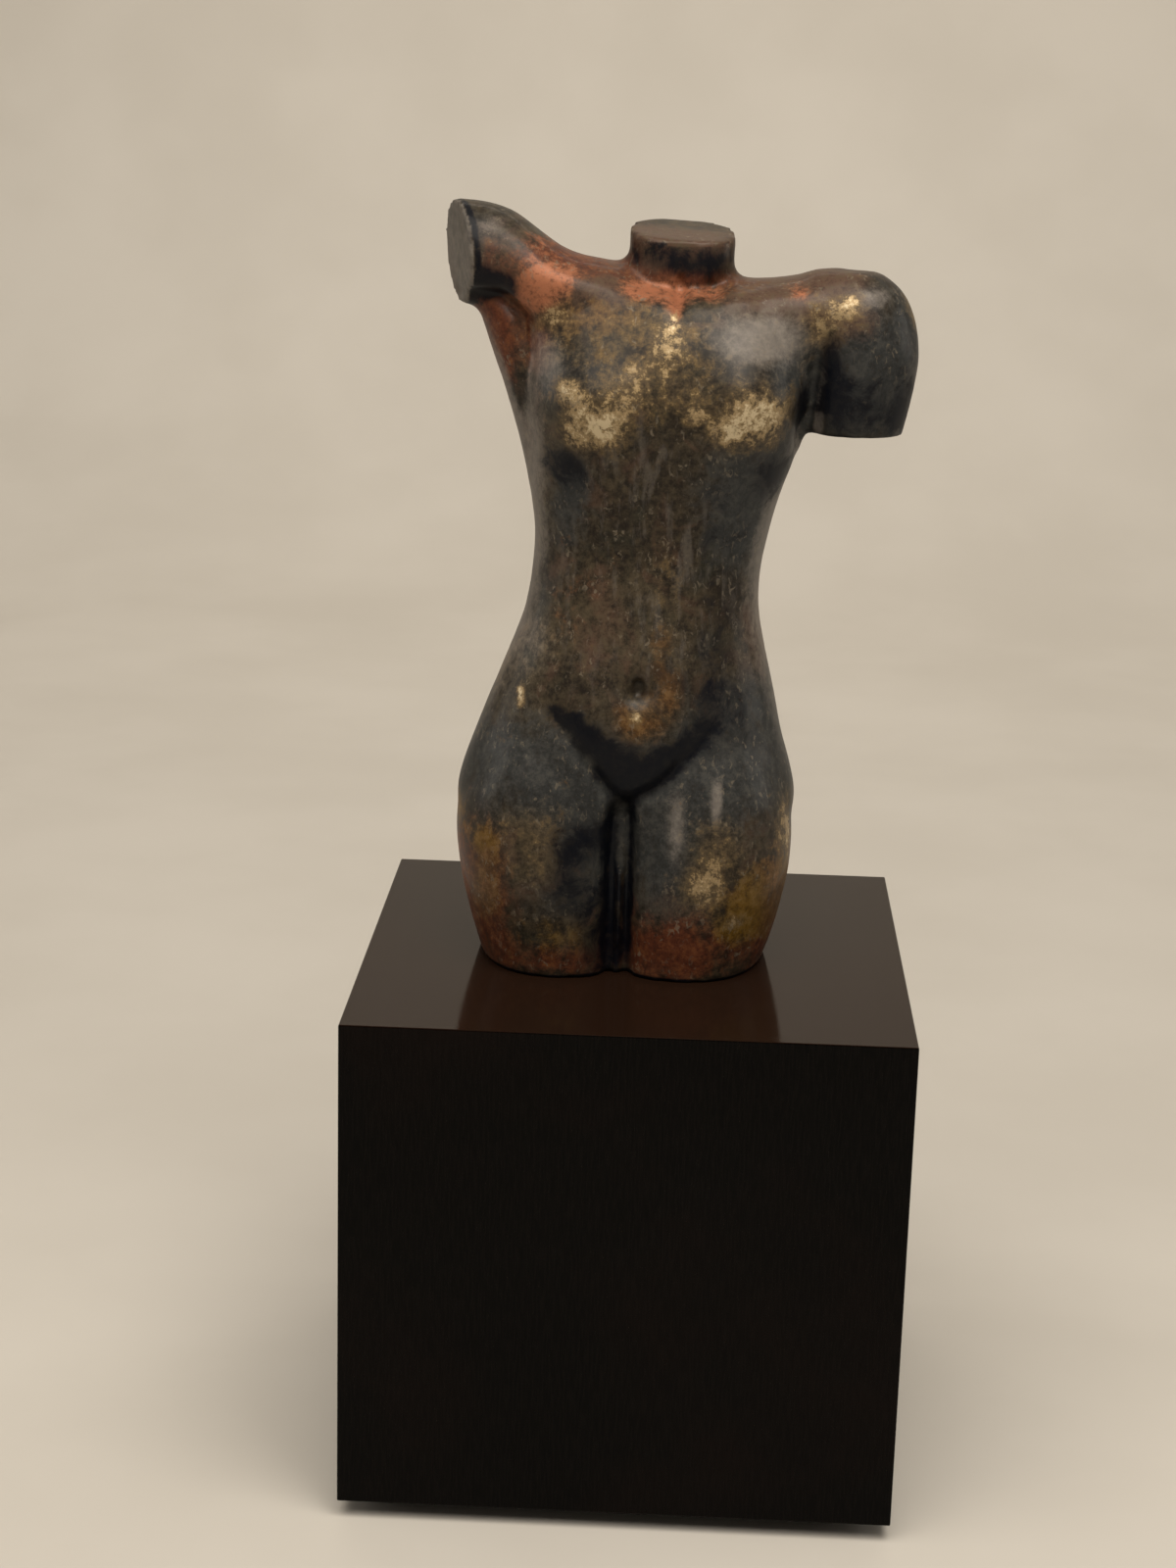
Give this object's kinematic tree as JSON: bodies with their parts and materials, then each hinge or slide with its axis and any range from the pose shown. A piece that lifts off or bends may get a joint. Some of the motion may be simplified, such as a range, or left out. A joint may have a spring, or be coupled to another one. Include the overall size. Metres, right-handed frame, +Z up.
{
  "type": "resin torso on a plinth",
  "caption": "Headless standing female torso in patinated resin, cut flat at neck, arms and thighs, resting on a dark glossy square plinth.",
  "frame": {"origin": "bottom centre of the plinth, on the floor", "axes": "+Z up; the torso's front faces -Y; +X is the viewer's right"},
  "size_m": [0.6, 0.6, 1.3934],
  "materials": {
    "patinated_resin": "clear-coated mottled metallic patina",
    "dark_lacquer": "high gloss dark lacquer",
    "black_base": "matte black"
  },
  "bodies": {
    "root": {"torso": "patinated_resin", "plinth_body": "dark_lacquer", "plinth_base": "black_base"}
  },
  "joints": []
}
